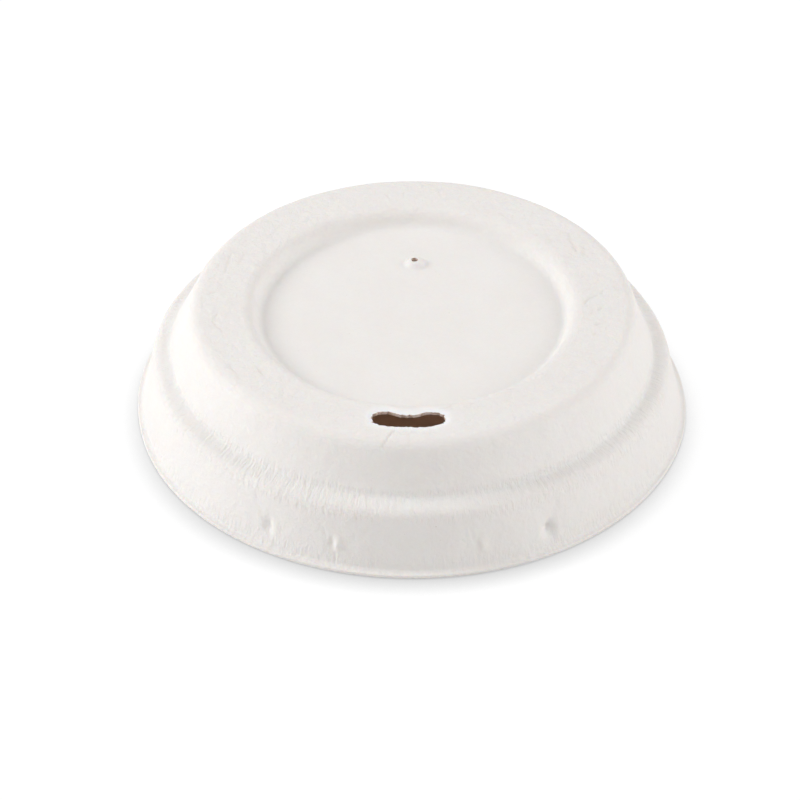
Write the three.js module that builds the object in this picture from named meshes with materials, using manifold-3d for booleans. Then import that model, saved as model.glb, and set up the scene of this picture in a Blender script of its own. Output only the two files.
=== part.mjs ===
// Sip lid for a takeaway cup, moulded in one piece from plant fibre.
// Units are millimetres and +Z is up. The lid stands on its flange, with its axis on the origin,
// and the drinking slot lies towards -Y.
import * as THREE from 'three';
import { mergeVertices } from 'three/addons/utils/BufferGeometryUtils.js';
import Module from 'manifold-3d';

const wasm = await Module();
wasm.setup();

// Wall and flange
const wall = 0.8;
const flangeRadius = 46.5;
const flangeReach = 0.8;
const flangeThickness = 0.75;

// Radial runs, from the foot of the skirt inwards to the panel
const skirtLean = 2.4;
const ledgeWidth = 2.6;
const upperWallLean = 3.8;
const ringWidth = 9.7;
const recessLean = 1.7;

// Heights, from the rest plane up to the ring and down again to the panel
const shoulderHeight = 11.3;
const ledgeRise = 0.4;
const upperWallRise = 9.0;
const ringRise = 0.2;
const recessDepth = 2.6;

// Fillet radii on the outer skin
const footFillet = 0.8;
const shoulderFillet = 2.0;
const stepFillet = 2.0;
const crownFillet = 2.6;
const recessTopFillet = 2.8;
const panelFillet = 1.6;

// Inner corner where the skirt meets the flange's underside
const mouthFillet = 0.5;

// Drinking slot: a bean across the ring, pinched in the middle of its inner edge
const slotLip = 1.9;
const slotDepth = 3.9;
const slotLength = 11.9;
const slotRoundness = 3.2;
const slotPinch = 0.85;
const slotPinchWidth = 4.6;

// Vent: a small raised cone on the panel, opposite the slot, with a pierced hole
const ventDistance = 14.8;
const ventFootRadius = 2.3;
const ventRise = 0.7;
const ventHoleRadius = 0.6;

// Dimples pressed into the skirt, which grip the cup's rim, in mirrored pairs at the front and the back
const dimpleAngles = [15.5, 31.1];
const dimpleHeight = 4.7;
const dimpleDepth = 0.55;
const dimpleBallRadius = 3.2;

// Mesh fineness
const turnSegments = 72;
const arcStep = THREE.MathUtils.degToRad(30);
const ballSegments = 12;
const ballRings = 16;
const slotSteps = 28;
const ventSteps = 5;
const cutMargin = 1.0;

// Corner radii and heights, worked out from the driving dimensions
const footRadius = flangeRadius - flangeReach;
const shoulderRadius = footRadius - skirtLean;
const stepRadius = shoulderRadius - ledgeWidth;
const crownRadius = stepRadius - upperWallLean;
const recessTopRadius = crownRadius - ringWidth;
const panelRadius = recessTopRadius - recessLean;
const stepHeight = shoulderHeight + ledgeRise;
const crownHeight = stepHeight + upperWallRise;
const ringHeight = crownHeight + ringRise;
const panelHeight = ringHeight - recessDepth;

// The outer skin's corners, from the axis outwards
const outerCorners = [
  { r: 0, z: panelHeight, fillet: 0 },
  { r: panelRadius, z: panelHeight, fillet: panelFillet },
  { r: recessTopRadius, z: ringHeight, fillet: recessTopFillet },
  { r: crownRadius, z: crownHeight, fillet: crownFillet },
  { r: stepRadius, z: stepHeight, fillet: stepFillet },
  { r: shoulderRadius, z: shoulderHeight, fillet: shoulderFillet },
  { r: footRadius, z: flangeThickness, fillet: footFillet },
  { r: flangeRadius, z: flangeThickness, fillet: 0 },
];

function direction(from, to) {
  return new THREE.Vector2(to.r - from.r, to.z - from.z).normalize();
}

function turnAt(before, corner, after) {
  return direction(before, corner).cross(direction(corner, after));
}

function bendAt(corners, i) {
  const alongIn = direction(corners[i - 1], corners[i]);
  const alongOut = direction(corners[i], corners[i + 1]);
  return Math.acos(THREE.MathUtils.clamp(alongIn.dot(alongOut), -1, 1));
}

// Where two lines cross, each given by a point and a direction
function crossing(pointA, alongA, pointB, alongB) {
  const between = new THREE.Vector2(pointB.r - pointA.r, pointB.z - pointA.z);
  const share = between.cross(alongB) / alongA.cross(alongB);
  return { r: pointA.r + alongA.x * share, z: pointA.z + alongA.y * share };
}

// A point moved square to a run, towards the inside of the lid
function moved(point, along, distance) {
  return { r: point.r + along.y * distance, z: point.z - along.x * distance };
}

// Every run of the outer skin moved in by a depth, from the axis down to the rest plane
function skinAtDepth(depth) {
  const corners = [{ r: 0, z: panelHeight - depth, fillet: 0 }];
  const foot = outerCorners.length - 2;
  for (let i = 1; i < foot; i += 1) {
    const [before, corner, after] = outerCorners.slice(i - 1, i + 2);
    const alongIn = direction(before, corner);
    const alongOut = direction(corner, after);
    const place = crossing(moved(corner, alongIn, depth), alongIn, moved(corner, alongOut, depth), alongOut);
    const bendsDown = turnAt(before, corner, after) < 0;
    const fillet = bendsDown ? Math.max(corner.fillet - depth, 0) : corner.fillet + depth;
    corners.push({ ...place, fillet });
  }
  const skirt = direction(outerCorners[foot - 1], outerCorners[foot]);
  const restPlane = { r: 0, z: 0 };
  const skirtPoint = moved(outerCorners[foot], skirt, depth);
  const mouth = crossing(skirtPoint, skirt, restPlane, new THREE.Vector2(1, 0));
  corners.push({ ...mouth, fillet: mouthFillet });
  return corners;
}

// How far each corner's arc reaches along its runs, limited where two arcs would meet on one run
function arcReaches(corners) {
  const reaches = corners.map((corner, i) => {
    if (i === 0 || i === corners.length - 1) {
      return 0;
    }
    return corner.fillet * Math.tan(bendAt(corners, i) / 2);
  });
  const runs = corners.slice(1).map((corner, i) => Math.hypot(corner.r - corners[i].r, corner.z - corners[i].z));
  return reaches.map((reach, i) => {
    const before = i > 0 ? runs[i - 1] / (reaches[i - 1] + reach) : 1;
    const after = i < runs.length ? runs[i] / (reach + reaches[i + 1]) : 1;
    return reach * Math.min(1, before, after);
  });
}

// The points of one rounded corner, as an arc that touches both runs
function roundedCorner(corners, i, reach) {
  const corner = corners[i];
  const along = direction(corners[i - 1], corner);
  const side = Math.sign(turnAt(corners[i - 1], corner, corners[i + 1]));
  const bend = bendAt(corners, i);
  const radius = reach / Math.tan(bend / 2);
  const start = new THREE.Vector2(corner.r - along.x * reach, corner.z - along.y * reach);
  const centre = new THREE.Vector2(-along.y, along.x).multiplyScalar(side * radius).add(start);
  const steps = Math.max(1, Math.ceil(bend / arcStep));
  const points = [];
  for (let k = 0; k <= steps; k += 1) {
    points.push(start.clone().rotateAround(centre, side * bend * k / steps));
  }
  return points;
}

function roundedPath(corners) {
  const reaches = arcReaches(corners);
  return corners.flatMap((corner, i) => {
    if (reaches[i] > 0) {
      return roundedCorner(corners, i, reaches[i]);
    }
    return [new THREE.Vector2(corner.r, corner.z)];
  });
}

// A closed body turned about +Z from a profile that starts and ends on the axis
function turned(profile, segments) {
  return new THREE.LatheGeometry(profile, segments).rotateX(Math.PI / 2);
}

function toSolid(geometry) {
  const plain = geometry.clone();
  plain.deleteAttribute('normal');
  plain.deleteAttribute('uv');
  const merged = mergeVertices(plain, 1e-5);
  const position = merged.attributes.position;
  const corners = merged.index.array;
  const triangles = [];
  let volume = 0;
  for (let i = 0; i < corners.length; i += 3) {
    const [a, b, c] = corners.slice(i, i + 3);
    if (a !== b && b !== c && c !== a) {
      triangles.push(a, b, c);
      const [p, q, s] = [a, b, c].map((k) => new THREE.Vector3().fromBufferAttribute(position, k));
      volume += p.dot(q.cross(s));
    }
  }
  if (volume < 0) {
    triangles.reverse();
  }
  return new wasm.Manifold(new wasm.Mesh({
    numProp: 3,
    vertProperties: new Float32Array(position.array),
    triVerts: new Uint32Array(triangles),
  }));
}

function shellSolid() {
  const rim = { r: flangeRadius, z: 0, fillet: 0 };
  const inside = roundedPath([...skinAtDepth(wall), rim]);
  const outside = roundedPath(outerCorners).reverse();
  return toSolid(turned([...inside, ...outside], turnSegments));
}

// The space below the middle of the wall, filled solid
function coreSolid() {
  const skin = skinAtDepth(wall / 2);
  const middle = { r: 0, z: 0, fillet: 0 };
  return toSolid(turned([...roundedPath([...skin, middle]).reverse()], turnSegments));
}

// The bean's half depth at a share of its half length, falling to nothing at the ends
function slotHalfDepth(share) {
  const fall = 1 - Math.abs(share) ** slotRoundness;
  return slotDepth / 2 * Math.max(fall, 0) ** (1 / slotRoundness);
}

function slotOutline() {
  const innerEdge = recessTopRadius + slotLip;
  const middle = innerEdge + slotDepth / 2;
  const halfTurn = slotLength / 2 / middle;
  const polar = (radius, turn) => new THREE.Vector2(radius * Math.sin(turn), -radius * Math.cos(turn));
  const points = [];
  for (let i = 0; i <= slotSteps; i += 1) {
    const share = -Math.cos(Math.PI * i / slotSteps);
    points.push(polar(middle + slotHalfDepth(share), share * halfTurn));
  }
  for (let i = slotSteps - 1; i > 0; i -= 1) {
    const share = -Math.cos(Math.PI * i / slotSteps);
    const pinch = slotPinch * Math.exp(-((share * slotLength / slotPinchWidth) ** 2));
    points.push(polar(middle - slotHalfDepth(share) + pinch, share * halfTurn));
  }
  return new THREE.Shape(points);
}

function slotCutter() {
  const depth = wall + 2 * cutMargin;
  const cutter = new THREE.ExtrudeGeometry(slotOutline(), { depth, bevelEnabled: false, steps: 1 });
  return toSolid(cutter.translate(0, 0, crownHeight - wall - cutMargin));
}

// A smooth cone that stands on a level base, as a profile from the axis to the axis
function coneBody(baseHeight, footHeight) {
  const profile = [new THREE.Vector2(0, baseHeight), new THREE.Vector2(ventFootRadius, baseHeight)];
  for (let i = ventSteps; i >= 0; i -= 1) {
    const share = i / ventSteps;
    const rise = ventRise * (1 + Math.cos(Math.PI * share)) / 2;
    profile.push(new THREE.Vector2(ventFootRadius * share, footHeight + rise));
  }
  return toSolid(turned(profile, ballSegments).translate(0, ventDistance, 0));
}

function withVent(shell) {
  const underside = panelHeight - wall;
  const boss = coneBody(underside + wall / 2, panelHeight);
  const hollow = coneBody(underside - cutMargin, underside);
  const holeLength = wall + ventRise + 2 * cutMargin;
  const hole = new THREE.CylinderGeometry(ventHoleRadius, ventHoleRadius, holeLength, ballSegments);
  hole.rotateX(Math.PI / 2).translate(0, ventDistance, panelHeight);
  return shell.add(boss).subtract(hollow).subtract(toSolid(hole));
}

// Azimuths of the dimples in degrees from the slot: mirrored left and right, front and back
function dimplePlaces() {
  return dimpleAngles.flatMap((angle) => [angle, -angle, 180 - angle, 180 + angle]);
}

function dimpleBall(radius, distance, degrees) {
  const turn = THREE.MathUtils.degToRad(degrees);
  const ball = new THREE.SphereGeometry(radius, ballSegments, ballRings);
  return toSolid(ball.translate(0, -distance, 0).rotateZ(turn).translate(0, 0, dimpleHeight));
}

function withDimples(shell) {
  const core = coreSolid();
  const skirtShare = (dimpleHeight - flangeThickness) / (shoulderHeight - flangeThickness);
  const skinRadius = footRadius - skirtLean * skirtShare;
  const distance = skinRadius + dimpleBallRadius - dimpleDepth;
  return dimplePlaces().reduce((solid, degrees) => {
    const backing = dimpleBall(dimpleBallRadius + wall, distance, degrees).intersect(core);
    return solid.add(backing).subtract(dimpleBall(dimpleBallRadius, distance, degrees));
  }, shell);
}

function meshOf(solid, name, material) {
  const { vertProperties, triVerts } = solid.getMesh();
  const geometry = new THREE.BufferGeometry();
  geometry.setAttribute('position', new THREE.BufferAttribute(vertProperties, 3));
  geometry.setIndex(new THREE.BufferAttribute(triVerts, 1));
  geometry.computeVertexNormals();
  const mesh = new THREE.Mesh(geometry, material);
  mesh.name = name;
  return mesh;
}

const pulp = new THREE.MeshStandardMaterial({ color: 0xece8e1, roughness: 0.9, metalness: 0 });

const lid = new THREE.Group();
const lidShell = withVent(withDimples(shellSolid())).subtract(slotCutter());
lid.add(meshOf(lidShell, 'lid_shell', pulp));

export default lid;
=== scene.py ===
import math

import bpy
import numpy as np
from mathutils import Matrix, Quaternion, Vector, noise


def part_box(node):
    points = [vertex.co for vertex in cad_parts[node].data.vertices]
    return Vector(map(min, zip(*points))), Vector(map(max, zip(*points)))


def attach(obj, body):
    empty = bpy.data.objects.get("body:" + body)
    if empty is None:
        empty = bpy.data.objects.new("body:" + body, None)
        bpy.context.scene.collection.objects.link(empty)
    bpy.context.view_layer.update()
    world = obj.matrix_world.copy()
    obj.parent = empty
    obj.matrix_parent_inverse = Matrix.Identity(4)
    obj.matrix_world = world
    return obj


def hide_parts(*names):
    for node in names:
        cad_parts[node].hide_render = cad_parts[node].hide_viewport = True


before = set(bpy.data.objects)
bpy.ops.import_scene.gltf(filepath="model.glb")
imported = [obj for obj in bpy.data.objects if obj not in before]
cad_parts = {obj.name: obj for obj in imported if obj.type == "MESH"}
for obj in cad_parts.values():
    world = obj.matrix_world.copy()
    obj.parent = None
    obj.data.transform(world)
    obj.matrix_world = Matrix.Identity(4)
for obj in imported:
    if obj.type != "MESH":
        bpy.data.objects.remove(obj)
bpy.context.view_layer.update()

# The lid is dressed as one fine shell of moulded pulp. Lengths in the settings are millimetres,
# and azimuths are degrees from the slot towards +X, unless a comment says otherwise.
MM = 0.001
NODE = "lid_shell"
FAR = 99.0

# Outer skin: widths and rises of its parts
shell_low, shell_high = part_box(NODE)
FLANGE_RADIUS = (shell_high[0] - shell_low[0]) / 2 / MM
WALL = 0.8
FLANGE_REACH = 0.8
FLANGE_THICKNESS = 0.75
SKIRT_SPREAD = 2.4
LEDGE_WIDTH = 2.6
UPPER_WALL_SPREAD = 3.8
RING_WIDTH = 9.7
RECESS_SPREAD = 1.7
SHOULDER_HEIGHT = 11.3
LEDGE_RISE = 0.4
UPPER_WALL_RISE = 9.0
RING_RISE = 0.2
RECESS_DEPTH = 2.6

# Fillets
EDGE_FILLET = 0.16
FOOT_FILLET = 0.8
SHOULDER_FILLET = 2.0
STEP_FILLET = 2.0
CROWN_FILLET = 2.6
RECESS_TOP_FILLET = 2.8
PANEL_FILLET = 1.6
MOUTH_FILLET = 0.5
LEAST_FILLET = 0.05

# Outer skin: corners as radius, height and fillet, from the axis outwards
FOOT_RADIUS = FLANGE_RADIUS - FLANGE_REACH
SHOULDER_RADIUS = FOOT_RADIUS - SKIRT_SPREAD
STEP_RADIUS = SHOULDER_RADIUS - LEDGE_WIDTH
CROWN_RADIUS = STEP_RADIUS - UPPER_WALL_SPREAD
RECESS_TOP_RADIUS = CROWN_RADIUS - RING_WIDTH
PANEL_RADIUS = RECESS_TOP_RADIUS - RECESS_SPREAD
STEP_HEIGHT = SHOULDER_HEIGHT + LEDGE_RISE
CROWN_HEIGHT = STEP_HEIGHT + UPPER_WALL_RISE
RING_HEIGHT = CROWN_HEIGHT + RING_RISE
PANEL_HEIGHT = RING_HEIGHT - RECESS_DEPTH
OUTER_CORNERS = [
    (0.0, PANEL_HEIGHT, 0.0),
    (PANEL_RADIUS, PANEL_HEIGHT, PANEL_FILLET),
    (RECESS_TOP_RADIUS, RING_HEIGHT, RECESS_TOP_FILLET),
    (CROWN_RADIUS, CROWN_HEIGHT, CROWN_FILLET),
    (STEP_RADIUS, STEP_HEIGHT, STEP_FILLET),
    (SHOULDER_RADIUS, SHOULDER_HEIGHT, SHOULDER_FILLET),
    (FOOT_RADIUS, FLANGE_THICKNESS, FOOT_FILLET),
    (FLANGE_RADIUS, FLANGE_THICKNESS, EDGE_FILLET),
    (FLANGE_RADIUS, 0.0, EDGE_FILLET),
]
FOOT_CORNER = 6

# Drinking slot
SLOT_LIP = 1.9
SLOT_DEPTH = 3.9
SLOT_LENGTH = 11.9
SLOT_ROUNDNESS = 3.2
SLOT_PINCH = 0.75
SLOT_PINCH_WIDTH = 5.0
SLOT_PINCH_POWER = 4
SLOT_INNER_EDGE = RECESS_TOP_RADIUS + SLOT_LIP
SLOT_MIDDLE = SLOT_INNER_EDGE + SLOT_DEPTH / 2
SLOT_HALF_TURN = SLOT_LENGTH / 2 / SLOT_MIDDLE
SLOT_POINTS = 180
SLOT_RAG = 0.29
COARSE_RAG = (0.7, 3.1)
FINE_RAG = (2.6, 8.7)
SLOT_CUT = (-3, 2)
RIM_DEPTH = 0.20
RIM_WIDTH = 0.5

# Vent
VENT_DISTANCE = 14.8
VENT_TOP_RADIUS = 0.7
VENT_FOOT_RADIUS = 2.15
VENT_RISE = 0.9
VENT_CONE_SHIFT = 0.12
VENT_HOLE_RADIUS = 0.57
VENT_POINTS = 24
VENT_RAG = 0.12
VENT_WOBBLE = (1.5, 4.2)
VENT_CUT = (-2, 3)

# Dimples in the skirt: azimuth, height, depth, reach to the left, right and up, and the ridge at the right
DIMPLES = [
    (-30.2, 4.3, 0.60, 0.80, 0.80, 1.10, 0.20),
    (-15.4, 4.5, 0.36, 0.55, 0.50, 0.90, 0.46),
    (15.0, 4.6, 0.18, 0.50, 0.50, 0.90, 0.32),
    (31.1, 4.1, 1.10, 1.00, 0.90, 1.35, 0.06),
    (148.9, 4.7, 0.55, 0.95, 0.95, 1.15, 0.12),
    (164.5, 4.7, 0.50, 0.95, 0.95, 1.15, 0.20),
    (195.5, 4.7, 0.55, 0.95, 0.95, 1.15, 0.12),
    (211.1, 4.7, 0.50, 0.95, 0.95, 1.15, 0.16),
]
DIMPLE_SHARPNESS = 2.2
RIDGE_GAP = 0.30
RIDGE_WIDTH = 0.80
HOLLOW_DEPTH = 0.12
HOLLOW_REACH = 3.6

# Creases in the skirt: azimuth and height of both ends, then width and depth
SKIRT_CREASES = [
    ((-32.3, 6.3), (-34.0, 8.8), 0.24, 0.16),
    ((-30.0, 4.0), (-28.6, 2.4), 0.22, 0.12),
    ((-17.0, 5.8), (-18.2, 7.8), 0.22, 0.14),
    ((-15.0, 3.0), (-14.6, 1.6), 0.22, 0.10),
    ((14.2, 5.6), (13.6, 7.4), 0.22, 0.08),
    ((31.4, 5.6), (33.6, 8.4), 0.26, 0.16),
    ((30.2, 3.4), (30.6, 1.8), 0.24, 0.14),
    ((59.5, 1.2), (60.5, 4.2), 0.26, 0.16),
    ((-58.5, 1.2), (-59.5, 3.8), 0.26, 0.12),
    ((44.0, 1.6), (45.5, 2.8), 0.24, 0.08),
    ((6.0, 1.5), (6.5, 2.6), 0.24, 0.07),
    ((-6.5, 1.4), (-7.5, 2.8), 0.24, 0.07),
    ((149.0, 5.8), (151.0, 8.0), 0.24, 0.12),
    ((195.5, 5.8), (194.0, 7.6), 0.24, 0.12),
]
PRESS_HEIGHTS = (1.4, 10.6)
PRESS_FADE = 1.0
SKIRT_MARGIN = 2.2

# Fine tears and creases in the ring: azimuths and radii along each, then width and depth
RING_CREASES = [
    ([(-3.6, 34.1), (-4.4, 34.9), (-5.2, 36.4), (-6.8, 37.6)], 0.13, 0.19),
    ([(14.5, 28), (12.5, 28.7), (10, 28.8)], 0.14, 0.10),
    ([(35, 28), (36, 28.2)], 0.20, 0.12),
    ([(91.5, 28.8), (94.5, 29.6), (96, 31)], 0.20, 0.16),
    ([(129, 33.6), (126, 32.6), (120, 31.7)], 0.22, 0.16),
    ([(97, 31.8), (98, 32.1)], 0.24, 0.16),
    ([(88.5, 31.2), (89.2, 31.5)], 0.24, 0.16),
    ([(86.5, 29.8), (87.2, 30)], 0.24, 0.12),
    ([(80.8, 31.1), (81.4, 31.4)], 0.28, 0.18),
    ([(75.5, 31.1), (76.2, 31.3)], 0.24, 0.12),
    ([(97.8, 34.6), (98.5, 35)], 0.24, 0.12),
    ([(128, 29.2), (128.6, 29.8)], 0.26, 0.14),
    ([(-124.5, 35.4), (-120.5, 33.4)], 0.22, 0.10),
    ([(-113.5, 33.9), (-104.5, 32.9)], 0.24, 0.14),
    ([(-116, 31.9), (-111, 31.5)], 0.22, 0.10),
    ([(-94, 34.2), (-94.5, 33.4)], 0.24, 0.14),
    ([(-92, 35.4), (-87.5, 35)], 0.22, 0.10),
    ([(-84, 32.6), (-80.5, 33.6), (-75.5, 32.4)], 0.22, 0.14),
    ([(-55, 30.8), (-50, 31.2)], 0.22, 0.14),
    ([(-60, 34.3), (-53, 34.8)], 0.22, 0.12),
    ([(-74, 35), (-70, 34.5)], 0.22, 0.10),
    ([(-37.5, 31.8), (-35.5, 31.6)], 0.20, 0.10),
    ([(174.5, 34.8), (173.5, 33.3)], 0.24, 0.12),
    ([(157.5, 30.6), (154.5, 29)], 0.22, 0.10),
    ([(161, 30.2), (158, 28.8)], 0.22, 0.08),
    ([(151.5, 30.2), (148, 29.5)], 0.22, 0.10),
    ([(147, 28.8), (144.5, 27.8)], 0.22, 0.08),
    ([(142.5, 35.2), (141.5, 36.2)], 0.22, 0.10),
    ([(130.5, 30), (128, 29)], 0.22, 0.12),
    ([(120, 33.2), (117.5, 32.2)], 0.22, 0.12),
]
CREASE_SHARE = 0.7
CREASE_ZONE_DROP = 1.2
# Crease depth at which the painted shade in the creases is full
FULL_CREASE = 0.16

# The rear of the skirt: its move to the left and down, from where, and how it fades under the crown
REAR_SHIFT = 0.5
REAR_SAG = 0.6
REAR_FROM = 75.0
REAR_FULL = 115.0
REAR_LOW = -1.0
REAR_TOP = 0.5
REAR_CROWN_GAP = 1.5

# The ledge's fill and the groove at its inner edge
STEP_OUT = 0.2
STEP_UP = 0.35
STEP_GROOVE = 0.14
STEP_GROOVE_RIGHT = 0.22
STEP_GROOVE_WIDTH = 0.65
RIGHT_GROOVE_ZONE = (30, 80, 25)
LEDGE_FILL = 0.30
LEDGE_FILL_REACH = 1.6
LEDGE_FILL_RADII = (-0.5, 0.1)
LEDGE_FILL_HEIGHTS = (-1.4, 0.6)
LEDGE_FILL_FADE = 2.0

# Unevenness of the pulp: depths, and each pattern's size and seed
WAVE_DEPTH = 0.10
WAVE = (13.0, 1)
RIPPLE_DEPTH = 0.045
RIPPLE = (3.2, 2)
RING_RIPPLE_DEPTH = 0.026
RING_RIPPLE = (2.2, 5)
GRAIN_DEPTH = 0.014
RING_GRAIN_DEPTH = 0.008
GRAIN = (1.1, 3)
SEED_STEPS = (7.3, 3.1, 5.7)
CALM_HEIGHT = 1.2
CALM_FADE = 1.0
CALM_PANEL_MARGIN = 3
CALM_PANEL_SHARE = 0.35
RING_MARGINS = (1, -2)
RING_FADE = 2.0
INSET = 0.05
INSET_FROM = 1.0
AXIS_RADIUS = 1.0
SKIN_MARGIN = 0.1

# Spacing of the mesh's rows along the profile, and where its zones begin and end
PATH_STEP = 0.02
ROW_SPACING = 0.60
RING_SPACING = 0.32
SLOT_SPACING = 0.15
PANEL_SPACING = 1.3
VENT_SPACING = 0.26
EDGE_SPACING = 0.16
STEP_SPACING = 0.30
INNER_SPACING = 2.0
INNER_SKIRT_SPACING = 1.0
RING_ZONE_DROP = 0.3
RING_ZONE_MARGIN = 0.5
SLOT_ZONE = (-1.2, 5.2)
PANEL_ZONE_MARGIN = 4
VENT_ZONE_MARGIN = 0.2
EDGE_ZONE_WIDTH = 2.0
EDGE_ZONE_HEIGHT = 2.2
STEP_ZONE = 1.5
INNER_SKIRT_HEIGHT = 8
OUTERMOST_TIE = 0.001

# Spacing of the mesh's columns round the lid, in degrees
TURN_SAMPLES = 7201
BACK_SPACING = 1.25
SIDE_SPACING = 0.62
FRONT_SPACING = 0.27
SIDE_REACH = 100
FRONT_REACH = 17.5
SHARP_ANGLE = 50

# Where the material is streaked, coarse, pressed, cut or inside
LEDGE_STREAKS = (-1.5, 0.9)
LEDGE_STREAK_FADE = 1.2
FOOT_STREAKS = (0.8, 2.4, 1.8)
FOOT_STREAK_SHARE = 0.7
PRESSED_FROM = 0.2
PRESSED_WIDTH = 0.8
PANEL_MASK_MARGIN = 1.0
PANEL_MASK_FADE = 2.0
COARSE = 0.38
COARSE_ON_RING = 0.36
COARSE_OFF_PANEL = 0.18
PRESSED_SMOOTHS = 0.85
SLOT_ZONE_DROP = 2.5
SLOT_ZONE_MARGIN = 1
SKIN_PATH_STEP = 0.4
INNER_SKIN_LIMIT = -0.3
UPRIGHT_LIMIT = 0.3
SLOT_EDGE_REACH = 0.06
VENT_EDGE_REACH = 0.2

# Small values that keep a division away from zero
LEAST_RISE = 1e-12
LEAST_RADIUS = 1e-6

# Pulp: colours, and the share of light that passes through each skin
PULP_COLOUR = (0.850, 0.832, 0.812, 1.0)
PULP_WARM = (0.810, 0.780, 0.750, 1.0)
# Painted highlight: a lighter, bluish colour for the pressed band round the slot, standing in for the
# light it catches
PULP_PRESSED_HIGHLIGHT = (0.895, 0.905, 0.915, 1.0)
# Dark specks of the pulp; the same colour also paints the shade in the ring's creases
PULP_SPECK_AND_CREASE_SHADE = (0.50, 0.42, 0.34, 1.0)
PULP_CUT = (0.82, 0.72, 0.66, 1.0)
PULP_CUT_DEEP = (0.48, 0.37, 0.30, 1.0)
PULP_THROUGH = (0.90, 0.64, 0.48, 1.0)
THROUGH_OUTER = 0.14
THROUGH_INNER = 0.34

# Pulp: patterns, as cycles to the metre and detail, then roughness and distortion for some
CLOUD_NOISE = (120.0, 3.0)
FELT_NOISE = (620.0, 3.0, 0.5, 0.3)
CROSSED_NOISE = (1000.0, 4.0, 0.6, 0.9)
STREAK_NOISE = (1400.0, 3.0, 0.65)
FIBRE_NOISE = (1900.0, 4.0, 0.65, 0.6)
SPECKLE_NOISE = (2600.0, 1.0)
CROSSED_STRETCH = (1.0, 1.8, 1.3)
STREAK_STRETCH = (0.22, 0.22, 0.40)
STREAK_SPREAD = (0.044, 0.044, 0.0)

# Pulp: the range of a pattern's values, then what it changes from and to
CLOUD_SHADE = (0.35, 0.65, 0.0, 0.35)
FIBRE_SHADE = (0.38, 0.62, 0.0, 0.30)
SPECKLE_SHADE = (0.79, 0.83, 0.0, 0.5)
TORN_SHADE = (0.42, 0.58, 0.0, 1.0)
ROUGHNESS = (0.3, 0.7, 0.80, 0.95)

# Pulp: how far the colour changes towards the painted highlight on the pressed band round the slot, and
# towards the painted shade in the ring's creases
PRESSED_HIGHLIGHT_SHARE = 0.85
CREASE_PAINTED_SHADE = 0.22

# Pulp: heights of the fine relief in metres, and the finish
FELT_RELIEF = 0.00046
CROSSED_RELIEF = 0.00012
FIBRE_RELIEF = 0.00011
STREAK_RELIEF = 0.00028
LEAST_STREAK = 0.10
SPECULAR_LEVEL = 0.25
SUBSURFACE_WEIGHT = 0.20
SUBSURFACE_RADIUS = (1.0, 0.55, 0.30)
SUBSURFACE_SCALE = 0.0009

# Floor and the soft shadow where the lid touches it
FLOOR_GLOW = 0.90
FLOOR_SIZE = 4.0
FLOOR_COLOUR = (0.80, 0.80, 0.80, 1.0)
FLOOR_SEEN_COLOUR = (0.12, 0.12, 0.12, 1.0)
COVERED_MARGIN = 1.0
CONTACT_REACH = 8.0
CONTACT_TILT = (0.0, 0.5, 0.87)
CONTACT_SAMPLES = 16
CONTACT_DARKEST = 0.15
CONTACT_FADES = 0.85
CONTACT_KEEPS = 0.30
CONTACT_LEAST = 0.55

# Lamps: name, azimuth, rise, distance and size in metres, power and colour
WHITE = (1, 1, 1)
LAMPS = [
    ("key", -96, 29, 1.1, 0.45, 7.9, (0.98, 0.99, 1.0)),
    ("fill_right", 90, 28, 1.3, 0.8, 9.0, WHITE),
    ("fill_front", -30, 24, 1.4, 0.9, 2.6, WHITE),
]
WORLD_LEVEL = 0.74

# Camera, fitted to the outlines in the photograph
IMAGE_SIZE = 800
CAMERA_TURN = 1.3
CAMERA_RISE = 37.3
CAMERA_DISTANCE = 700.0
CAMERA_FOCUS_PIXELS = 4152.0
TARGET_HEIGHT = 10.0
TARGET_PIXEL = (412.4, 355.2)
SENSOR_WIDTH = 36.0
NEAREST_SEEN = 0.01
FARTHEST_SEEN = 20.0


def heading(a, b):
    step = np.subtract(b[:2], a[:2])
    return step / np.hypot(*step)


def moved_line(a, b, depth):
    """The line from a to b, moved inwards, as a point and a direction."""
    along = heading(a, b)
    return np.array(a[:2]) + depth * np.array([along[1], -along[0]]), along


def crossing(line_a, line_b):
    (point_a, along_a), (point_b, along_b) = line_a, line_b
    share = np.linalg.solve(np.column_stack([along_a, -along_b]), point_b - point_a)[0]
    return point_a + along_a * share


def inner_corners():
    """The inner skin's corners, from the mouth of the skirt back to the axis."""
    corners = [(0.0, PANEL_HEIGHT - WALL, 0.0)]
    for i in range(1, FOOT_CORNER):
        before, corner, after = OUTER_CORNERS[i - 1:i + 2]
        place = crossing(moved_line(before, corner, WALL), moved_line(corner, after, WALL))
        turn = np.cross(heading(before, corner), heading(corner, after))
        fillet = max(corner[2] - WALL, LEAST_FILLET) if turn < 0 else corner[2] + WALL
        corners.append((place[0], place[1], fillet))
    skirt = moved_line(OUTER_CORNERS[FOOT_CORNER - 1], OUTER_CORNERS[FOOT_CORNER], WALL)
    mouth = crossing(skirt, (np.array([0.0, 0.0]), np.array([1.0, 0.0])))
    corners.append((mouth[0], mouth[1], MOUTH_FILLET))
    return corners[::-1]


def rounded_corner(before, corner, after, step):
    """Points along the fillet of one corner."""
    along_in, along_out = heading(before, corner), heading(corner, after)
    bend = math.acos(np.clip(along_in @ along_out, -1, 1))
    side = np.sign(np.cross(along_in, along_out))
    reach = corner[2] * math.tan(bend / 2)
    start = np.array(corner[:2]) - along_in * reach
    centre = start + side * corner[2] * np.array([-along_in[1], along_in[0]])
    arc_steps = max(2, int(corner[2] * bend / step))
    points = []
    for k in range(arc_steps + 1):
        turn = side * bend * k / arc_steps
        spin = np.array([[math.cos(turn), -math.sin(turn)], [math.sin(turn), math.cos(turn)]])
        points.append(centre + spin @ (start - centre))
    return points


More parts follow.
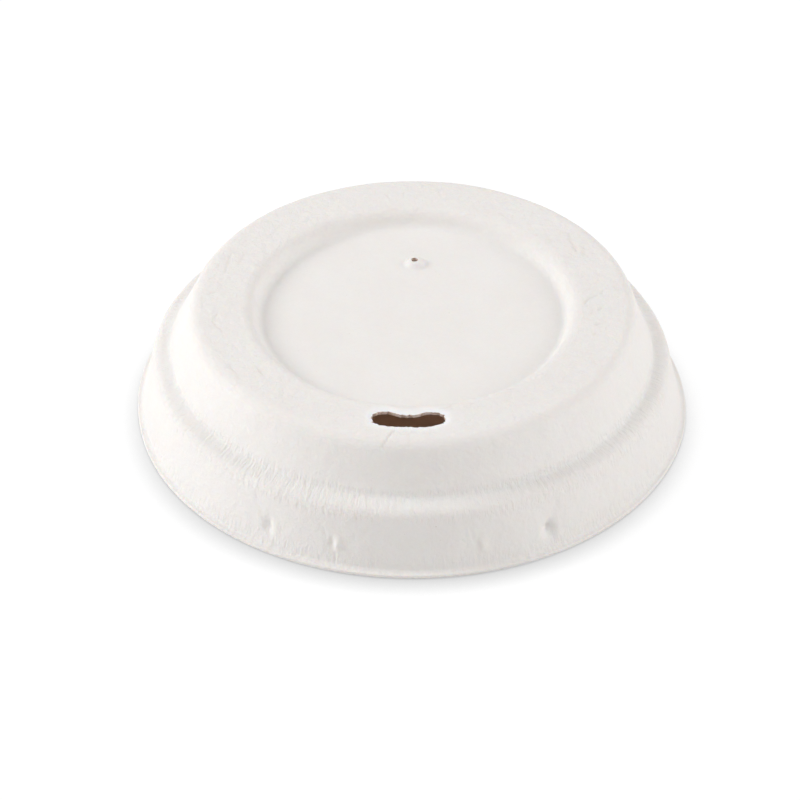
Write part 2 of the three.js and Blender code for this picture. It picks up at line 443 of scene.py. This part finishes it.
def fine_path(corners, step=PATH_STEP):
    """A closely stepped path with rounded corners, and its outward normals."""
    points = [np.array(corners[0][:2])]
    for before, corner, after in zip(corners, corners[1:], corners[2:]):
        points += rounded_corner(before, corner, after, step)
    points.append(np.array(corners[-1][:2]))
    rough = np.array(points)
    travel = np.concatenate([[0], np.cumsum(np.hypot(*np.diff(rough, axis=0).T))])
    even = np.linspace(0, travel[-1], int(travel[-1] / step) + 1)
    path = np.column_stack([np.interp(even, travel, rough[:, k]) for k in (0, 1)])
    slope = np.gradient(path, axis=0)
    slope /= np.linalg.norm(slope, axis=1)[:, None]
    normal = np.column_stack([-slope[:, 1], slope[:, 0]])
    return even, path, normal


def stations(travel, spacing):
    """Places along a path whose steps follow the wanted spacing."""
    density = 1 / spacing
    count = np.concatenate([[0], np.cumsum((density[1:] + density[:-1]) / 2 * np.diff(travel))])
    return np.interp(np.linspace(0, count[-1], int(count[-1]) + 1), count, travel)


def smooth(share):
    return share * share * (3 - 2 * share)


def near(value, low, high, soft):
    """1 between low and high, fading to 0 over the soft distance outside them."""
    rise = np.clip((value - low) / soft + 1, 0, 1)
    fall = np.clip((high - value) / soft + 1, 0, 1)
    return smooth(np.minimum(rise, fall))


def round_the_axis(position):
    """Azimuth in radians from the slot, distance from the axis, and height."""
    turn = np.arctan2(position[:, 0], -position[:, 1])
    return turn, np.hypot(position[:, 0], position[:, 1]), position[:, 2]


def profile_rows():
    """The mesh's rows along the profile, without the axis: radius, height and the normal's two parts."""
    travel, path, normal = fine_path(OUTER_CORNERS + inner_corners())
    radius, height = path[:, 0], path[:, 1]
    outside = travel < travel[np.argmin(np.hypot(radius - FLANGE_RADIUS, height))]
    slot_side = radius - SLOT_INNER_EDGE
    spacing = np.full(len(travel), ROW_SPACING)
    ring = outside & (height > CROWN_HEIGHT - RING_ZONE_DROP)
    spacing[ring & (radius > RECESS_TOP_RADIUS - RING_ZONE_MARGIN)] = RING_SPACING
    spacing[ring & (slot_side > SLOT_ZONE[0]) & (slot_side < SLOT_ZONE[1])] = SLOT_SPACING
    spacing[outside & (radius < RECESS_TOP_RADIUS - PANEL_ZONE_MARGIN)] = PANEL_SPACING
    vent_zone = abs(radius - VENT_DISTANCE) < VENT_FOOT_RADIUS + VENT_ZONE_MARGIN
    spacing[outside & vent_zone] = VENT_SPACING
    edge_zone = (radius > FLANGE_RADIUS - EDGE_ZONE_WIDTH) & (height < EDGE_ZONE_HEIGHT)
    spacing[outside & edge_zone] = EDGE_SPACING
    spacing[outside & (step_distance(radius, height) < STEP_ZONE)] = STEP_SPACING
    spacing[~outside] = INNER_SPACING
    spacing[~outside & (height < INNER_SKIRT_HEIGHT)] = INNER_SKIRT_SPACING
    places = stations(travel, spacing)
    measures = (radius, height, normal[:, 0], normal[:, 1])
    row = [np.interp(places, travel, measure) for measure in measures]
    return np.array(row).T[1:-1]


def columns():
    """Azimuths of the mesh's columns from the slot, close together near it and wider at the back."""
    turn = np.linspace(-math.pi, math.pi, TURN_SAMPLES)
    spacing = np.full(len(turn), math.radians(BACK_SPACING))
    spacing[abs(turn) < math.radians(SIDE_REACH)] = math.radians(SIDE_SPACING)
    spacing[abs(turn) < math.radians(FRONT_REACH)] = math.radians(FRONT_SPACING)
    return stations(turn, spacing)[:-1]


def polar(radius, turn):
    return np.stack([radius * np.sin(turn), -radius * np.cos(turn)], -1)


def edge_noise(point, pattern):
    """A steady value for a place on an edge. The pattern is its frequency and its seed."""
    frequency, seed = pattern
    return noise.noise(Vector((point[0] * frequency, point[1] * frequency, seed)))


def slot_outline():
    """The slot's edge seen from above, with a torn, slightly uneven line."""
    half = SLOT_POINTS // 2
    share = -np.cos(np.pi * np.arange(half + 1) / half)
    fall = np.clip(1 - abs(share) ** SLOT_ROUNDNESS, 0, 1) ** (1 / SLOT_ROUNDNESS)
    pinch = SLOT_PINCH * np.exp(-((share * SLOT_LENGTH / SLOT_PINCH_WIDTH) ** SLOT_PINCH_POWER))
    outer = polar(SLOT_MIDDLE + SLOT_DEPTH / 2 * fall, share * SLOT_HALF_TURN)
    inner = polar(SLOT_MIDDLE - SLOT_DEPTH / 2 * fall + pinch, share * SLOT_HALF_TURN)
    outline = np.concatenate([outer, inner[-2:0:-1]])
    centre = np.array([0.0, -SLOT_MIDDLE])
    for k, point in enumerate(outline):
        away = (point - centre) / np.hypot(*(point - centre))
        rag = edge_noise(point, COARSE_RAG) + edge_noise(point, FINE_RAG)
        outline[k] = point + away * SLOT_RAG * rag
    return outline


def vent_outline():
    """The vent hole's edge seen from above."""
    turns = np.linspace(0, 2 * math.pi, VENT_POINTS + 1)[:-1]
    wobble = [1 + VENT_RAG * edge_noise((math.cos(a), math.sin(a)), VENT_WOBBLE) for a in turns]
    spokes = np.array(wobble) * VENT_HOLE_RADIUS
    return np.column_stack([spokes * np.cos(turns), VENT_DISTANCE + spokes * np.sin(turns)])


def segment_distance(points, start, end):
    """Distance from each point to the nearest of the straight lines from start to end."""
    side = end - start
    to_point = points[:, None] - start
    share = np.clip((to_point * side).sum(-1) / (side ** 2).sum(-1), 0, 1)
    return np.linalg.norm(to_point - share[..., None] * side, axis=-1).min(1)


def edge_distance(points, outline):
    """Distance from each point to the outline, below zero inside it."""
    start, end = outline, np.roll(outline, -1, axis=0)
    side = end - start
    distance = segment_distance(points, start, end)
    above = start[:, 1] > points[:, None, 1]
    crosses = above != (end[:, 1] > points[:, None, 1])
    along = (points[:, None, 1] - start[:, 1]) / (side[:, 1] + LEAST_RISE)
    across = side[:, 0] * along + start[:, 0]
    inside = ((crosses & (points[:, None, 0] < across)).sum(1) % 2) == 1
    return np.where(inside, -distance, distance)


def slot_distance(position):
    """Distance to the slot's edge for places on the ring, and far away elsewhere."""
    distance = np.full(len(position), FAR)
    radius, height = round_the_axis(position)[1:]
    close = (height > CROWN_HEIGHT - SLOT_ZONE_DROP) & (position[:, 1] < 0)
    close &= abs(position[:, 0]) < SLOT_LENGTH
    close &= radius > RECESS_TOP_RADIUS - SLOT_ZONE_MARGIN
    distance[close] = edge_distance(position[close, :2], slot_outline())
    return distance


def noise_field(position, size, seed):
    shift = Vector([seed * step for step in SEED_STEPS])
    return np.array([noise.noise(Vector(p) / size + shift) for p in position])


def line_depth(distance, width):
    return np.exp(-((distance / width) ** 2))


def ring_crease_depth(position):
    """Depth of the fine tears and creases in the ring."""
    radius, height = round_the_axis(position)[1:]
    depth = np.zeros(len(position))
    on_ring = (height > CROWN_HEIGHT - CREASE_ZONE_DROP) & (radius > RECESS_TOP_RADIUS - RING_ZONE_MARGIN)
    for places, width, deep in RING_CREASES:
        path = np.array([polar(r, math.radians(a)) for a, r in places])
        distance = segment_distance(position[on_ring, :2], path[:-1], path[1:])
        depth[on_ring] = np.maximum(depth[on_ring], CREASE_SHARE * deep * line_depth(distance, width))
    return depth


def turned_by(turn, centre):
    """The angle from a centre line, between half a turn back and half a turn on."""
    return np.mod(turn - centre + np.pi, 2 * np.pi) - np.pi


def skirt_press(position):
    """How far the skirt is pressed towards the axis by the dimples and the creases."""
    turn, radius, height = round_the_axis(position)
    press = np.zeros(len(position))
    for azimuth, middle, depth, left, right, tall, ridge in DIMPLES:
        across = turned_by(turn, math.radians(azimuth)) * radius
        up = height - middle
        share = np.hypot(across / np.where(across < 0, left, right), up / tall)
        press += depth * np.exp(-(share ** DIMPLE_SHARPNESS))
        ridge_side = (across - right - RIDGE_GAP) / RIDGE_WIDTH
        press -= ridge * np.exp(-(ridge_side ** 2) - (up / tall) ** 2)
        press += HOLLOW_DEPTH * line_depth(np.hypot(across, up), HOLLOW_REACH)
    for (start, low), (end, high), width, depth in SKIRT_CREASES:
        share = np.clip((height - low) / (high - low), 0, 1)
        centre = np.radians(start + (end - start) * share)
        beyond = np.clip(np.maximum(min(low, high) - height, height - max(low, high)), 0, None)
        across = np.hypot(turned_by(turn, centre) * radius, beyond)
        press += depth * line_depth(across, width)
    on_skirt = radius > SHOULDER_RADIUS - WALL - SKIRT_MARGIN
    return press * on_skirt * near(height, *PRESS_HEIGHTS, PRESS_FADE)


def rear_move(position):
    """How the rear of the skirt sits to the left, and how far its shoulder has sunk there."""
    turn, radius, height = round_the_axis(position)
    share = np.clip((abs(np.degrees(turn)) - REAR_FROM) / (REAR_FULL - REAR_FROM), 0, 1)
    at_back = smooth(share) * (radius > RECESS_TOP_RADIUS)
    fade = CROWN_HEIGHT - STEP_HEIGHT - REAR_CROWN_GAP
    below_crown = near(height, REAR_LOW, STEP_HEIGHT + REAR_TOP, fade)
    move = np.zeros((len(position), 3))
    move[:, 0] = -REAR_SHIFT * at_back * below_crown
    move[:, 2] = -REAR_SAG * at_back * below_crown * np.clip(height / SHOULDER_HEIGHT, 0, 1)
    return move


def ledge_fill(position):
    """How far the ledge is lifted towards the upper wall, which makes it a soft slope."""
    radius, height = round_the_axis(position)[1:]
    inner, outer = [STEP_RADIUS + margin for margin in LEDGE_FILL_RADII]
    low, high = [STEP_HEIGHT + margin for margin in LEDGE_FILL_HEIGHTS]
    at_step = near(radius, inner, outer, LEDGE_FILL_REACH)
    return LEDGE_FILL * at_step * near(height, low, high, LEDGE_FILL_FADE)


def step_distance(radius, height):
    """Distance in the profile from the middle of the fillet at the foot of the upper wall."""
    return np.hypot(radius - STEP_RADIUS - STEP_OUT, height - STEP_HEIGHT - STEP_UP)


def step_groove(position):
    """The narrow crease at the foot of the upper wall, which is deeper at the right."""
    turn, radius, height = round_the_axis(position)
    depth = STEP_GROOVE + STEP_GROOVE_RIGHT * near(np.degrees(turn), *RIGHT_GROOVE_ZONE)
    return depth * line_depth(step_distance(radius, height), STEP_GROOVE_WIDTH)


def vent_rise(position):
    """The low cone round the vent's hole, with a level top."""
    away = np.hypot(position[:, 0] - VENT_CONE_SHIFT, position[:, 1] - VENT_DISTANCE)
    share = np.clip((away - VENT_TOP_RADIUS) / (VENT_FOOT_RADIUS - VENT_TOP_RADIUS), 0, 1)
    cone = VENT_RISE * (1 + np.cos(np.pi * share)) / 2
    return cone * (position[:, 2] > PANEL_HEIGHT - WALL - SKIN_MARGIN)


def ring_share(radius):
    """1 on the flat of the ring, fading towards both its edges."""
    inner, outer = RECESS_TOP_RADIUS + RING_MARGINS[0], CROWN_RADIUS + RING_MARGINS[1]
    return near(radius, inner, outer, RING_FADE)


def unevenness(position, outside):
    """Waves and grain of the pulp, calmer at the foot and on the panel."""
    radius, height = round_the_axis(position)[1:]
    on_panel = radius < RECESS_TOP_RADIUS - CALM_PANEL_MARGIN
    calm = near(height, CALM_HEIGHT, FAR, CALM_FADE) * np.where(on_panel, CALM_PANEL_SHARE, 1.0)
    on_ring = outside * ring_share(radius)
    waves = WAVE_DEPTH * noise_field(position, *WAVE)
    waves = waves + RIPPLE_DEPTH * noise_field(position, *RIPPLE)
    waves += RING_RIPPLE_DEPTH * on_ring * noise_field(position, *RING_RIPPLE)
    grain_depth = GRAIN_DEPTH + RING_GRAIN_DEPTH * on_ring
    grain = grain_depth * noise_field(position, *GRAIN) * outside
    return (waves + grain) * calm * (radius > AXIS_RADIUS)


def shaped(position, normal, outside):
    """Adds the dimples, the rear's move, the vent's cone, the ledge's fill and groove,
    the slot's pressed rim, the creases and the unevenness."""
    turn = round_the_axis(position)[0]
    radial = np.column_stack([np.sin(turn), -np.cos(turn), np.zeros(len(turn))])
    result = position - radial * skirt_press(position)[:, None] + rear_move(position)
    result[:, 2] += vent_rise(position) + ledge_fill(position)
    slot_gap = np.clip(slot_distance(position), 0, None)
    result[:, 2] -= RIM_DEPTH * line_depth(slot_gap, RIM_WIDTH) * outside
    inset = (INSET + ring_crease_depth(position) * outside) * (position[:, 2] > INSET_FROM)
    result -= normal * (step_groove(position) * outside)[:, None]
    result -= normal * inset[:, None]
    result += normal * unevenness(position, outside)[:, None]
    return result


def shell_faces(row_count, count, top, bottom):
    """Four-sided faces between the rows, and fans that close both skins at the axis."""
    faces = []
    for i in range(row_count - 1):
        for j in range(count):
            k = (j + 1) % count
            faces.append((i * count + j, (i + 1) * count + j, (i + 1) * count + k, i * count + k))
    last = (row_count - 1) * count
    for j in range(count):
        k = (j + 1) % count
        faces.append((top, j, k))
        faces.append((bottom, last + k, last + j))
    return faces


def shell_mesh():
    """Both skins of the lid as one closed mesh, before its openings are cut."""
    rows = profile_rows()
    turns = columns()
    radius, height, normal_out, normal_up = [rows[:, k][:, None] for k in range(4)]
    level = np.ones((1, len(turns)))
    position = np.stack([radius * np.sin(turns), -radius * np.cos(turns), height * level], -1)
    normal = np.stack([normal_out * np.sin(turns), -normal_out * np.cos(turns), normal_up * level], -1)
    edge_row = int(np.argmax(rows[:, 0] + rows[:, 1] * OUTERMOST_TIE))
    outside_row = (np.arange(len(rows)) <= edge_row).astype(float)
    outside = np.repeat(outside_row, len(turns))
    points = shaped(position.reshape(-1, 3), normal.reshape(-1, 3), outside)
    middle = np.array([[0, 0, PANEL_HEIGHT - INSET], [0, 0, PANEL_HEIGHT - WALL - INSET]])
    faces = shell_faces(len(rows), len(turns), len(points), len(points) + 1)
    mesh = bpy.data.meshes.new("pulp_shell")
    mesh.from_pydata(np.concatenate([points, middle]) * MM, [], faces)
    mesh.update()
    return mesh


def prism(outline, low, high, name):
    """A closed upright body on a flat outline, used to cut an opening."""
    count = len(outline)
    bottom = [(x * MM, y * MM, low * MM) for x, y in outline]
    top = [(x * MM, y * MM, high * MM) for x, y in outline]
    faces = [(k, (k + 1) % count, count + (k + 1) % count, count + k) for k in range(count)]
    faces.append(tuple(range(count))[::-1])
    faces.append(tuple(range(count, 2 * count)))
    mesh = bpy.data.meshes.new(name)
    mesh.from_pydata(bottom + top, [], faces)
    mesh.update()
    body = bpy.data.objects.new(name, mesh)
    bpy.context.scene.collection.objects.link(body)
    return body


def cut(piece, cutter):
    """Cuts an opening right through the shell, and leaves no modifier on it."""
    modifier = piece.modifiers.new("opening", "BOOLEAN")
    modifier.operation = "DIFFERENCE"
    modifier.solver = "EXACT"
    modifier.object = cutter
    bpy.context.view_layer.update()
    evaluated = piece.evaluated_get(bpy.context.evaluated_depsgraph_get())
    finished = bpy.data.meshes.new_from_object(evaluated)
    piece.modifiers.clear()
    piece.data = finished
    bpy.data.objects.remove(cutter)


def add_attribute(mesh, name, values, domain="POINT"):
    attribute = mesh.attributes.new(name, "FLOAT", domain)
    attribute.data.foreach_set("value", np.asarray(values, dtype=np.float32))


def read_vectors(items, name):
    flat = np.empty(len(items) * 3)
    items.foreach_get(name, flat)
    return flat.reshape(-1, 3)


def mark_surface(mesh):
    """Stores where the pulp is streaked, pressed, coarse or creased, for the material, which paints a
    highlight on the pressed band and shade in the creases.
    """
    position = read_vectors(mesh.vertices, "co") / MM
    radius, height = round_the_axis(position)[1:]
    low, high = SHOULDER_HEIGHT + LEDGE_STREAKS[0], STEP_HEIGHT + LEDGE_STREAKS[1]
    ledge = near(height, low, high, LEDGE_STREAK_FADE) * (radius > CROWN_RADIUS)
    foot = FOOT_STREAK_SHARE * near(height, *FOOT_STREAKS) * (radius > SHOULDER_RADIUS)
    add_attribute(mesh, "streaked", np.clip(ledge + foot, 0, 1))
    # The pressed band round the slot: smoother relief, and a painted highlight in the material
    pressed = line_depth(np.clip(slot_distance(position) - PRESSED_FROM, 0, None), PRESSED_WIDTH)
    add_attribute(mesh, "pressed", pressed)
    on_panel = near(radius, 0, PANEL_RADIUS - PANEL_MASK_MARGIN, PANEL_MASK_FADE)
    coarse = COARSE + COARSE_ON_RING * ring_share(radius) - COARSE_OFF_PANEL * on_panel
    add_attribute(mesh, "coarse", coarse * (1 - PRESSED_SMOOTHS * pressed))
    # The creases' depth, for painted shade in the material
    add_attribute(mesh, "creased", np.clip(ring_crease_depth(position) / FULL_CREASE, 0, 1))


def skin_side(centre, normal):
    """How far faces look the way the nearest part of the outer skin does: -1 on the inner skin."""
    path, path_normal = fine_path(OUTER_CORNERS, SKIN_PATH_STEP)[1:]
    radius, height = round_the_axis(centre)[1:]
    place = np.column_stack([radius, height])
    nearest = np.argmin((path ** 2).sum(1) - 2 * place @ path.T, axis=1)
    along = normal[:, 0] * centre[:, 0] + normal[:, 1] * centre[:, 1]
    outward = along / np.maximum(radius, LEAST_RADIUS)
    return outward * path_normal[nearest, 0] + normal[:, 2] * path_normal[nearest, 1]


def mark_faces(mesh):
    """Stores which faces are the cut edge of the slot and the vent, and which are the inner skin."""
    centre = read_vectors(mesh.polygons, "center") / MM
    normal = read_vectors(mesh.polygons, "normal")
    upright = abs(normal[:, 2]) < UPRIGHT_LIMIT
    at_slot = abs(slot_distance(centre)) < SLOT_EDGE_REACH
    vent_reach = VENT_HOLE_RADIUS + VENT_EDGE_REACH
    at_vent = np.hypot(centre[:, 0], centre[:, 1] - VENT_DISTANCE) < vent_reach
    add_attribute(mesh, "cut_edge", upright & (at_slot | at_vent), "FACE")
    add_attribute(mesh, "inner_skin", skin_side(centre, normal) < INNER_SKIN_LIMIT, "FACE")


def make_shell():
    piece = bpy.data.objects.new("pulp_shell", shell_mesh())
    bpy.context.scene.collection.objects.link(piece)
    slot_low, slot_high = [CROWN_HEIGHT + margin for margin in SLOT_CUT]
    cut(piece, prism(slot_outline(), slot_low, slot_high, "slot_cutter"))
    vent_low, vent_high = [PANEL_HEIGHT + margin for margin in VENT_CUT]
    cut(piece, prism(vent_outline(), vent_low, vent_high, "vent_cutter"))
    mesh = piece.data
    mesh.shade_smooth()
    mesh.set_sharp_from_angle(angle=math.radians(SHARP_ANGLE))
    mark_surface(mesh)
    mark_faces(mesh)
    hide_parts(NODE)
    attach(piece, "root")
    return piece


class Nodes:
    """Short calls for building a node tree."""

    def __init__(self, tree):
        self.tree = tree
        tree.nodes.clear()

    def add(self, kind, **settings):
        node = self.tree.nodes.new(kind)
        for name, value in settings.items():
            setattr(node, name, value)
        return node

    def join(self, source, target):
        self.tree.links.new(source, target)

    def put(self, target, value):
        if isinstance(value, bpy.types.NodeSocket):
            self.join(value, target)
        else:
            target.default_value = value

    def math(self, operation, *values):
        node = self.add("ShaderNodeMath", operation=operation)
        for target, value in zip(node.inputs, values):
            self.put(target, value)
        return node.outputs[0]

    def scaled(self, vector, scale):
        node = self.add("ShaderNodeVectorMath", operation="MULTIPLY")
        self.put(node.inputs[0], vector)
        node.inputs[1].default_value = scale
        return node.outputs[0]

    def vector(self, values):
        node = self.add("ShaderNodeCombineXYZ")
        for target, value in zip(node.inputs, values):
            target.default_value = value
        return node.outputs[0]

    def noise(self, vector, scale, detail=3.0, roughness=0.55, distortion=0.0):
        node = self.add("ShaderNodeTexNoise")
        self.put(node.inputs["Vector"], vector)
        node.inputs["Scale"].default_value = scale
        node.inputs["Detail"].default_value = detail
        node.inputs["Roughness"].default_value = roughness
        node.inputs["Distortion"].default_value = distortion
        return node.outputs["Fac"]

    def remap(self, value, low, high, new_low, new_high):
        node = self.add("ShaderNodeMapRange")
        self.put(node.inputs["Value"], value)
        node.inputs["From Min"].default_value = low
        node.inputs["From Max"].default_value = high
        self.put(node.inputs["To Min"], new_low)
        self.put(node.inputs["To Max"], new_high)
        return node.outputs["Result"]

    def mix_colour(self, factor, first, second):
        node = self.add("ShaderNodeMix", data_type="RGBA")
        self.put(node.inputs["Factor"], factor)
        self.put(node.inputs[6], first)
        self.put(node.inputs[7], second)
        return node.outputs[2]

    def attribute(self, name):
        return self.add("ShaderNodeAttribute", attribute_name=name).outputs["Fac"]

    def bump(self, height, strength, distance, normal=None):
        node = self.add("ShaderNodeBump")
        self.put(node.inputs["Height"], height)
        self.put(node.inputs["Strength"], strength)
        node.inputs["Distance"].default_value = distance
        if normal is not None:
            self.join(normal, node.inputs["Normal"])
        return node.outputs["Normal"]


def streak_position(nodes, place):
    """A place whose pattern runs in streaks down the slopes: it changes round the lid, not along it."""
    flat = nodes.scaled(place, (1.0, 1.0, 0.0))
    spoke = nodes.add("ShaderNodeVectorMath", operation="NORMALIZE")
    nodes.put(spoke.inputs[0], flat)
    total = nodes.add("ShaderNodeVectorMath", operation="ADD")
    nodes.put(total.inputs[0], nodes.scaled(spoke.outputs[0], STREAK_SPREAD))
    nodes.put(total.inputs[1], nodes.scaled(place, STREAK_STRETCH))
    return total.outputs[0]


def pulp_colour(nodes, place, fibre, crossed):
    """Pale pulp with warm clouds and fibres, dark specks, a painted highlight on the pressed band round
    the slot, painted shade in the ring's creases, and its cut places.
    """
    cloud = nodes.noise(place, *CLOUD_NOISE)
    speckle = nodes.noise(place, *SPECKLE_NOISE)
    shade = nodes.remap(cloud, *CLOUD_SHADE)
    colour = nodes.mix_colour(shade, PULP_COLOUR, PULP_WARM)
    fibre_shade = nodes.remap(fibre, *FIBRE_SHADE)
    colour = nodes.mix_colour(fibre_shade, colour, PULP_WARM)
    speckle_shade = nodes.remap(speckle, *SPECKLE_SHADE)
    colour = nodes.mix_colour(speckle_shade, colour, PULP_SPECK_AND_CREASE_SHADE)
    # Painted highlight: the pressed band round the slot is made lighter and bluish
    pressed_highlight = nodes.math("MULTIPLY", nodes.attribute("pressed"), PRESSED_HIGHLIGHT_SHARE)
    colour = nodes.mix_colour(pressed_highlight, colour, PULP_PRESSED_HIGHLIGHT)
    # Painted shade: the ring's creases are darkened towards the specks' colour
    crease_painted_shade = nodes.math("MULTIPLY", nodes.attribute("creased"), CREASE_PAINTED_SHADE)
    colour = nodes.mix_colour(crease_painted_shade, colour, PULP_SPECK_AND_CREASE_SHADE)
    torn = nodes.remap(crossed, *TORN_SHADE)
    cut_colour = nodes.mix_colour(torn, PULP_CUT, PULP_CUT_DEEP)
    return nodes.mix_colour(nodes.attribute("cut_edge"), colour, cut_colour)


def pulp_relief(nodes, place, fibre, crossed):
    """The fine relief: felt, crossed fibres and single fibres, and streaks on the slopes."""
    felt = nodes.noise(place, *FELT_NOISE)
    streaks = nodes.noise(streak_position(nodes, place), *STREAK_NOISE)
    coarse = nodes.attribute("coarse")
    normal = nodes.bump(felt, coarse, FELT_RELIEF)
    normal = nodes.bump(crossed, coarse, CROSSED_RELIEF, normal)
    normal = nodes.bump(fibre, coarse, FIBRE_RELIEF, normal)
    streak_amount = nodes.remap(nodes.attribute("streaked"), 0.0, 1.0, LEAST_STREAK, 1.0)
    return nodes.bump(streaks, streak_amount, STREAK_RELIEF, normal)


def pulp_material():
    """Moulded pulp, which lets a little warm light through, more at the inner skin."""
    material = bpy.data.materials.new("moulded_pulp")
    material.use_nodes = True
    nodes = Nodes(material.node_tree)
    output = nodes.add("ShaderNodeOutputMaterial")
    shader = nodes.add("ShaderNodeBsdfPrincipled")
    glowing_through = nodes.add("ShaderNodeBsdfTranslucent")
    glowing_through.inputs["Color"].default_value = PULP_THROUGH
    blend = nodes.add("ShaderNodeMixShader")
    through = nodes.remap(nodes.attribute("inner_skin"), 0.0, 1.0, THROUGH_OUTER, THROUGH_INNER)
    nodes.join(through, blend.inputs["Fac"])
    nodes.join(shader.outputs[0], blend.inputs[1])
    nodes.join(glowing_through.outputs[0], blend.inputs[2])
    nodes.join(blend.outputs[0], output.inputs[0])

    place = nodes.add("ShaderNodeTexCoord").outputs["Object"]
    fibre = nodes.noise(place, *FIBRE_NOISE)
    crossed_place = nodes.scaled(place, CROSSED_STRETCH)
    crossed = nodes.noise(crossed_place, *CROSSED_NOISE)
    nodes.join(pulp_colour(nodes, place, fibre, crossed), shader.inputs["Base Color"])
    nodes.join(pulp_relief(nodes, place, fibre, crossed), shader.inputs["Normal"])
    nodes.join(nodes.remap(fibre, *ROUGHNESS), shader.inputs["Roughness"])
    shader.inputs["Specular IOR Level"].default_value = SPECULAR_LEVEL
    shader.inputs["Subsurface Weight"].default_value = SUBSURFACE_WEIGHT
    shader.inputs["Subsurface Radius"].default_value = SUBSURFACE_RADIUS
    shader.inputs["Subsurface Scale"].default_value = SUBSURFACE_SCALE
    return material


def background_ray(nodes):
    """1 for the rays that show the background, in the picture, a gloss or a clear piece."""
    path = nodes.add("ShaderNodeLightPath").outputs
    seen = nodes.math("MAXIMUM", path["Is Camera Ray"], path["Is Glossy Ray"])
    return nodes.math("MAXIMUM", seen, path["Is Transmission Ray"])


def open_floor_share(nodes):
    """1 on the floor beside the lid, and 0 under it."""
    place = nodes.add("ShaderNodeTexCoord").outputs["Object"]
    distance = nodes.add("ShaderNodeVectorMath", operation="LENGTH")
    nodes.put(distance.inputs[0], place)
    covered_radius = (FLANGE_RADIUS - COVERED_MARGIN) * MM
    return nodes.math("GREATER_THAN", distance.outputs["Value"], covered_radius)


def contact_shade(nodes):
    """The soft shadow on the floor close to the lid, longer towards the viewer's side."""
    contact = nodes.add("ShaderNodeAmbientOcclusion", samples=CONTACT_SAMPLES)
    contact.inputs["Distance"].default_value = CONTACT_REACH * MM
    nodes.join(nodes.vector(CONTACT_TILT), contact.inputs["Normal"])
    shade = nodes.remap(contact.outputs["AO"], CONTACT_DARKEST, CONTACT_FADES, CONTACT_KEEPS, 1.0)
    return nodes.math("MAXIMUM", shade, CONTACT_LEAST)


def floor_material():
    """A pale floor that is seen as white, apart from the lid's shadow."""
    material = bpy.data.materials.new("pale_floor")
    material.use_nodes = True
    nodes = Nodes(material.node_tree)
    output = nodes.add("ShaderNodeOutputMaterial")
    diffuse = nodes.add("ShaderNodeBsdfDiffuse")
    glow = nodes.add("ShaderNodeEmission")
    total = nodes.add("ShaderNodeAddShader")
    nodes.join(diffuse.outputs[0], total.inputs[0])
    nodes.join(glow.outputs[0], total.inputs[1])
    nodes.join(total.outputs[0], output.inputs[0])
    seen = nodes.math("MULTIPLY", open_floor_share(nodes), background_ray(nodes))
    nodes.join(nodes.mix_colour(seen, FLOOR_COLOUR, FLOOR_SEEN_COLOUR), diffuse.inputs["Color"])
    lit = nodes.math("MULTIPLY", seen, contact_shade(nodes))
    nodes.join(nodes.math("MULTIPLY", lit, FLOOR_GLOW), glow.inputs["Strength"])
    return material


def make_floor():
    mesh = bpy.data.meshes.new("floor")
    half = FLOOR_SIZE / 2
    corners = [(-half, -half, 0), (half, -half, 0), (half, half, 0), (-half, half, 0)]
    mesh.from_pydata(corners, [], [(0, 1, 2, 3)])
    mesh.materials.append(floor_material())
    floor = bpy.data.objects.new("floor", mesh)
    bpy.context.scene.collection.objects.link(floor)


def aimed(place, target):
    return (target - place).to_track_quat("-Z", "Y")


def away_from_target(azimuth, rise):
    """The direction towards a place at an azimuth and a rise."""
    turn = math.radians(azimuth)
    lift = math.radians(rise)
    level = math.cos(lift)
    return Vector((math.sin(turn) * level, -math.cos(turn) * level, math.sin(lift)))


def add_area_light(name, azimuth, rise, distance, size, power, colour):
    """A soft square lamp that looks at the lid."""
    lamp = bpy.data.lights.new(name, "AREA")
    lamp.size = size
    lamp.energy = power
    lamp.color = colour
    place = away_from_target(azimuth, rise) * distance
    light = bpy.data.objects.new(name, lamp)
    light.location = place
    light.rotation_mode = "QUATERNION"
    light.rotation_quaternion = aimed(place, Vector((0, 0, TARGET_HEIGHT * MM)))
    bpy.context.scene.collection.objects.link(light)


def make_world():
    world = bpy.data.worlds.new("studio")
    bpy.context.scene.world = world
    world.use_nodes = True
    nodes = Nodes(world.node_tree)
    output = nodes.add("ShaderNodeOutputWorld")
    background = nodes.add("ShaderNodeBackground")
    nodes.join(background.outputs[0], output.inputs[0])
    strength = nodes.remap(background_ray(nodes), 0.0, 1.0, WORLD_LEVEL, 1.0)
    nodes.join(strength, background.inputs["Strength"])


def make_lights():
    make_world()
    for lamp in LAMPS:
        add_area_light(*lamp)


def make_camera():
    """The camera, turned so that the target falls on its pixel of the photograph."""
    camera_data = bpy.data.cameras.new("camera")
    camera_data.sensor_width = SENSOR_WIDTH
    camera_data.lens = CAMERA_FOCUS_PIXELS * SENSOR_WIDTH / IMAGE_SIZE
    camera_data.clip_start = NEAREST_SEEN
    camera_data.clip_end = FARTHEST_SEEN
    camera = bpy.data.objects.new("camera", camera_data)
    target = Vector((0, 0, TARGET_HEIGHT * MM))
    away = away_from_target(CAMERA_TURN, CAMERA_RISE)
    camera.location = target + away * CAMERA_DISTANCE * MM
    right_of_middle = (TARGET_PIXEL[0] - IMAGE_SIZE / 2) / CAMERA_FOCUS_PIXELS
    above_middle = (IMAGE_SIZE / 2 - TARGET_PIXEL[1]) / CAMERA_FOCUS_PIXELS
    turn_left = Quaternion((0, 1, 0), math.atan(right_of_middle))
    tip_down = Quaternion((1, 0, 0), -math.atan(above_middle))
    camera.rotation_mode = "QUATERNION"
    camera.rotation_quaternion = aimed(camera.location, target) @ turn_left @ tip_down
    bpy.context.scene.collection.objects.link(camera)
    bpy.context.scene.camera = camera


make_camera()
make_floor()
make_lights()
shell = make_shell()
shell.data.materials.clear()
shell.data.materials.append(pulp_material())
bpy.context.scene.view_settings.view_transform = "Standard"
